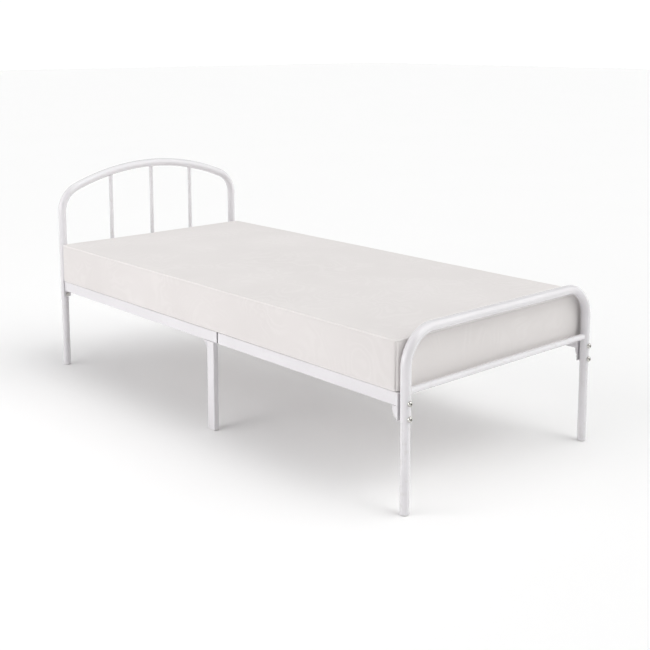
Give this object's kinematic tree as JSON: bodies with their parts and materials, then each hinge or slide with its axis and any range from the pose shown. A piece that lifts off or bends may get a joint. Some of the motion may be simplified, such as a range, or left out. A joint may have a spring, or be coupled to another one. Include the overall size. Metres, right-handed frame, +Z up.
{
  "type": "metal single bed with mattress",
  "caption": "Single bed: bolted white steel tube frame with an arched, barred headboard, a low hooped footboard, middle legs, and a plain off-white foam mattress.",
  "frame": {"origin": "on the floor, under the middle of the bed", "axes": "+Z up, +Y along the bed towards the headboard, +X across the bed, to the right for someone standing at the foot and facing the headboard"},
  "size_m": [0.9, 1.9806, 0.826],
  "materials": {
    "white_powder_coat": "gloss",
    "foot_cap_plastic": "satin",
    "zinc_fastener": "satin",
    "mattress_ticking": "matte"
  },
  "bodies": {
    "frame": {"foot_half_cross_beam": "white_powder_coat", "foot_half_slat_1": "white_powder_coat", "foot_half_slat_2": "white_powder_coat", "foot_half_slat_3": "white_powder_coat", "foot_half_slat_4": "white_powder_coat", "foot_left_end_bracket": "white_powder_coat", "foot_left_foot_cap": "foot_cap_plastic", "foot_left_leg": "white_powder_coat", "foot_left_lower_bolt": "zinc_fastener", "foot_left_lower_nut": "zinc_fastener", "foot_left_side_rail": "white_powder_coat", "foot_left_upper_bolt": "zinc_fastener", "foot_left_upper_nut": "zinc_fastener", "foot_right_end_bracket": "white_powder_coat", "foot_right_foot_cap": "foot_cap_plastic", "foot_right_leg": "white_powder_coat", "foot_right_lower_bolt": "zinc_fastener", "foot_right_lower_nut": "zinc_fastener", "foot_right_side_rail": "white_powder_coat", "foot_right_upper_bolt": "zinc_fastener", "foot_right_upper_nut": "zinc_fastener", "footboard_bow": "white_powder_coat", "footboard_cross_rail": "white_powder_coat", "head_half_cross_beam": "white_powder_coat", "head_half_slat_1": "white_powder_coat", "head_half_slat_2": "white_powder_coat", "head_half_slat_3": "white_powder_coat", "head_half_slat_4": "white_powder_coat", "head_left_end_bracket": "white_powder_coat", "head_left_foot_cap": "foot_cap_plastic", "head_left_leg": "white_powder_coat", "head_left_lower_bolt": "zinc_fastener", "head_left_lower_nut": "zinc_fastener", "head_left_side_rail": "white_powder_coat", "head_left_upper_bolt": "zinc_fastener", "head_left_upper_nut": "zinc_fastener", "head_right_end_bracket": "white_powder_coat", "head_right_foot_cap": "foot_cap_plastic", "head_right_leg": "white_powder_coat", "head_right_lower_bolt": "zinc_fastener", "head_right_lower_nut": "zinc_fastener", "head_right_side_rail": "white_powder_coat", "head_right_upper_bolt": "zinc_fastener", "head_right_upper_nut": "zinc_fastener", "headboard_bow": "white_powder_coat", "headboard_cross_rail": "white_powder_coat", "headboard_spindle_1": "white_powder_coat", "headboard_spindle_2": "white_powder_coat", "headboard_spindle_3": "white_powder_coat", "joint_left_bolt": "zinc_fastener", "joint_left_nut": "zinc_fastener", "joint_right_bolt": "zinc_fastener", "joint_right_nut": "zinc_fastener", "middle_left_foot_cap": "foot_cap_plastic", "middle_left_leg": "white_powder_coat", "middle_left_leg_gusset": "white_powder_coat", "middle_right_foot_cap": "foot_cap_plastic", "middle_right_leg": "white_powder_coat", "middle_right_leg_gusset": "white_powder_coat"},
    "mattress": {"mattress": "mattress_ticking"}
  },
  "joints": [
    {"name": "mattress_lift", "type": "slide", "parent": "frame", "child": "mattress", "axis": [0, 0, 1], "range_m": [0, 0.5]}
  ]
}
